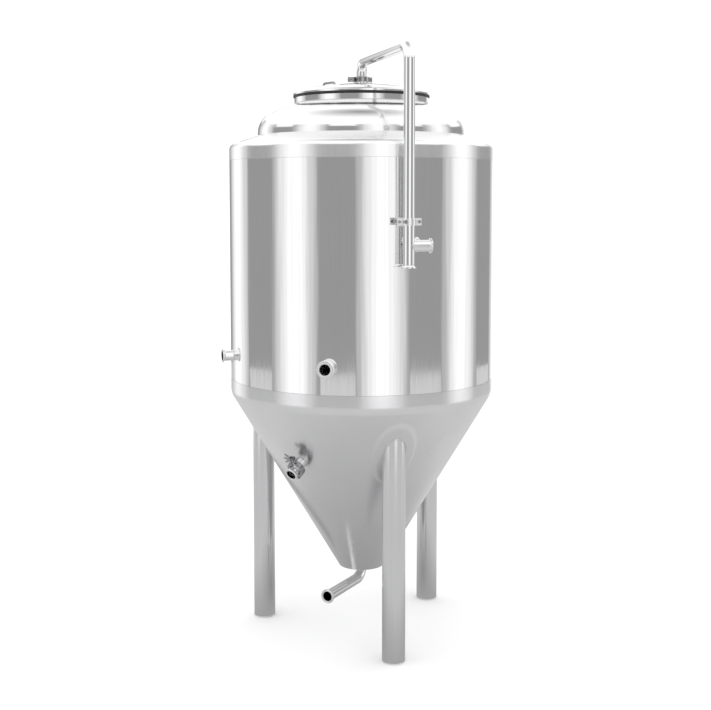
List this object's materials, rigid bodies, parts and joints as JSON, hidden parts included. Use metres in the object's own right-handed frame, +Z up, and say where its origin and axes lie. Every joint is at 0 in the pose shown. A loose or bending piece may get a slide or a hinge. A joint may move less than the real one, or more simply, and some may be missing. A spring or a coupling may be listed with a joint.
{
  "type": "conical fermenter",
  "caption": "Jacketed stainless conical fermenter on tube legs, with a domed manway, a blow-off arm down its side and clamp ports on jacket, cone and outlet.",
  "frame": {"origin": "on the floor, under the middle of the whole object's plan box; the tank's own axis is at x = 0.0195, y = 0.0361", "axes": "+Z up; the front leg and the blow-off pipe are towards -Y, the coolant inlet towards -X"},
  "size_m": [0.999, 1.0322, 2.106],
  "materials": {
    "vessel_steel": "2B mill finish",
    "foam": "cut polyurethane foam",
    "polished_jacket": "bright polished, long soft reflections",
    "brushed_cladding": "satin, brushed round the axis",
    "brushed_legs": "satin, brushed along the tube",
    "black_rubber": "matt black",
    "clamp_seal": "matt translucent white",
    "cast_fittings": "cast, tumbled bright",
    "brushed_bracket": "satin",
    "polished_lid": "bright polished",
    "polished_pipe": "bright polished tube"
  },
  "bodies": {
    "tank": {"inner_vessel": "vessel_steel", "cooling_jacket": "vessel_steel", "side_insulation": "foam", "cone_insulation": "foam", "jacket_shell": "polished_jacket", "top_shoulder": "brushed_cladding", "cone_cladding": "brushed_cladding", "cone_end_cap": "brushed_cladding", "manway_collar": "polished_lid", "manway_gasket": "black_rubber", "leg_front": "brushed_legs", "leg_left": "brushed_legs", "leg_right": "brushed_legs", "leg_pad_front": "brushed_legs", "leg_pad_left": "brushed_legs", "leg_pad_right": "brushed_legs", "foot_plate_front": "brushed_legs", "foot_plate_left": "brushed_legs", "foot_plate_right": "brushed_legs", "front_port": "polished_pipe", "glycol_inlet": "polished_pipe", "glycol_outlet": "polished_pipe", "cone_port_neck": "polished_pipe", "cone_port_seal": "clamp_seal", "cone_port_spool": "polished_pipe", "cone_clamp_jaw_far": "cast_fittings", "cone_clamp_jaw_near": "cast_fittings", "cone_clamp_hinge_pin": "cast_fittings", "cone_clamp_swing_bolt": "cast_fittings", "outlet_pipe": "polished_pipe", "outlet_ferrule": "polished_pipe", "support_bracket": "brushed_bracket", "cone_clamp_washer": "cast_fittings"},
    "lid": {"manway_lid": "polished_lid", "lid_ferrule": "polished_pipe", "lid_handle": "polished_lid", "spray_ball": "polished_pipe", "top_clamp_seal": "clamp_seal", "top_clamp_jaw_far": "cast_fittings", "top_clamp_jaw_near": "cast_fittings", "top_clamp_hinge_pin": "cast_fittings", "top_clamp_swing_bolt": "cast_fittings", "arm_top_ferrule": "polished_pipe", "blow_off_pipe": "polished_pipe", "arm_bottom_ferrule": "polished_pipe", "arm_branch": "polished_pipe", "pipe_support_front": "brushed_bracket", "pipe_support_rear": "brushed_bracket", "support_set_screw": "cast_fittings", "support_bolt_left": "cast_fittings", "support_bolt_right": "cast_fittings", "support_nut_left": "cast_fittings", "support_nut_right": "cast_fittings", "top_clamp_washer": "cast_fittings"},
    "top_clamp_nut": {"top_clamp_wing_nut": "cast_fittings"},
    "cone_clamp_nut": {"cone_clamp_wing_nut": "cast_fittings"}
  },
  "joints": [
    {"name": "lid_lift", "type": "slide", "parent": "tank", "child": "lid", "axis": [0, 0, 1], "range_m": [0, 0.4]},
    {"name": "top_clamp_nut_turn", "type": "hinge", "parent": "lid", "child": "top_clamp_nut", "pos_m": [-0.023, 0.02683, 2.023], "axis": [0, -1, 0], "range_deg": [0, 3600]},
    {"name": "cone_clamp_nut_turn", "type": "hinge", "parent": "tank", "child": "cone_clamp_nut", "pos_m": [-0.31045, -0.20533, 0.69989], "axis": [-0.6088, 0.7934, 0], "range_deg": [0, 3600]}
  ]
}
